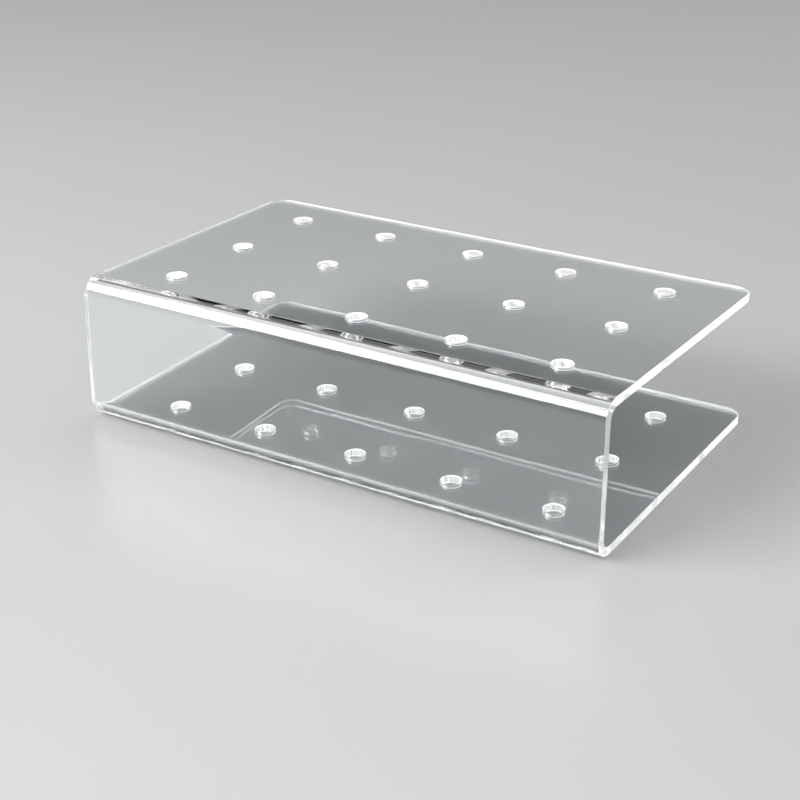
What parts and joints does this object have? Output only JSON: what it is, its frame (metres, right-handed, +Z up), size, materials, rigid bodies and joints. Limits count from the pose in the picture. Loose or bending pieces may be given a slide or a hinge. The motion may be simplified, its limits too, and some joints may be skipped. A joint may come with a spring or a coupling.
{
  "type": "bent acrylic hole stand",
  "caption": "Clear acrylic sheet bent into a sideways U, with matching grids of round holes through its deck and base that hold thin sticks or tubes upright.",
  "frame": {"origin": "on the surface that the stand rests on, under the middle of its overall length and depth", "axes": "+X along the length, +Y from the closed front wall to the open back, +Z up"},
  "size_m": [0.2, 0.1166, 0.0523],
  "materials": {
    "clear_acrylic": "clear acrylic sheet with polished faces and bright, lightly frosted cut edges and hole walls"
  },
  "bodies": {
    "root": {"bent_acrylic_sheet": "clear_acrylic"}
  },
  "joints": []
}
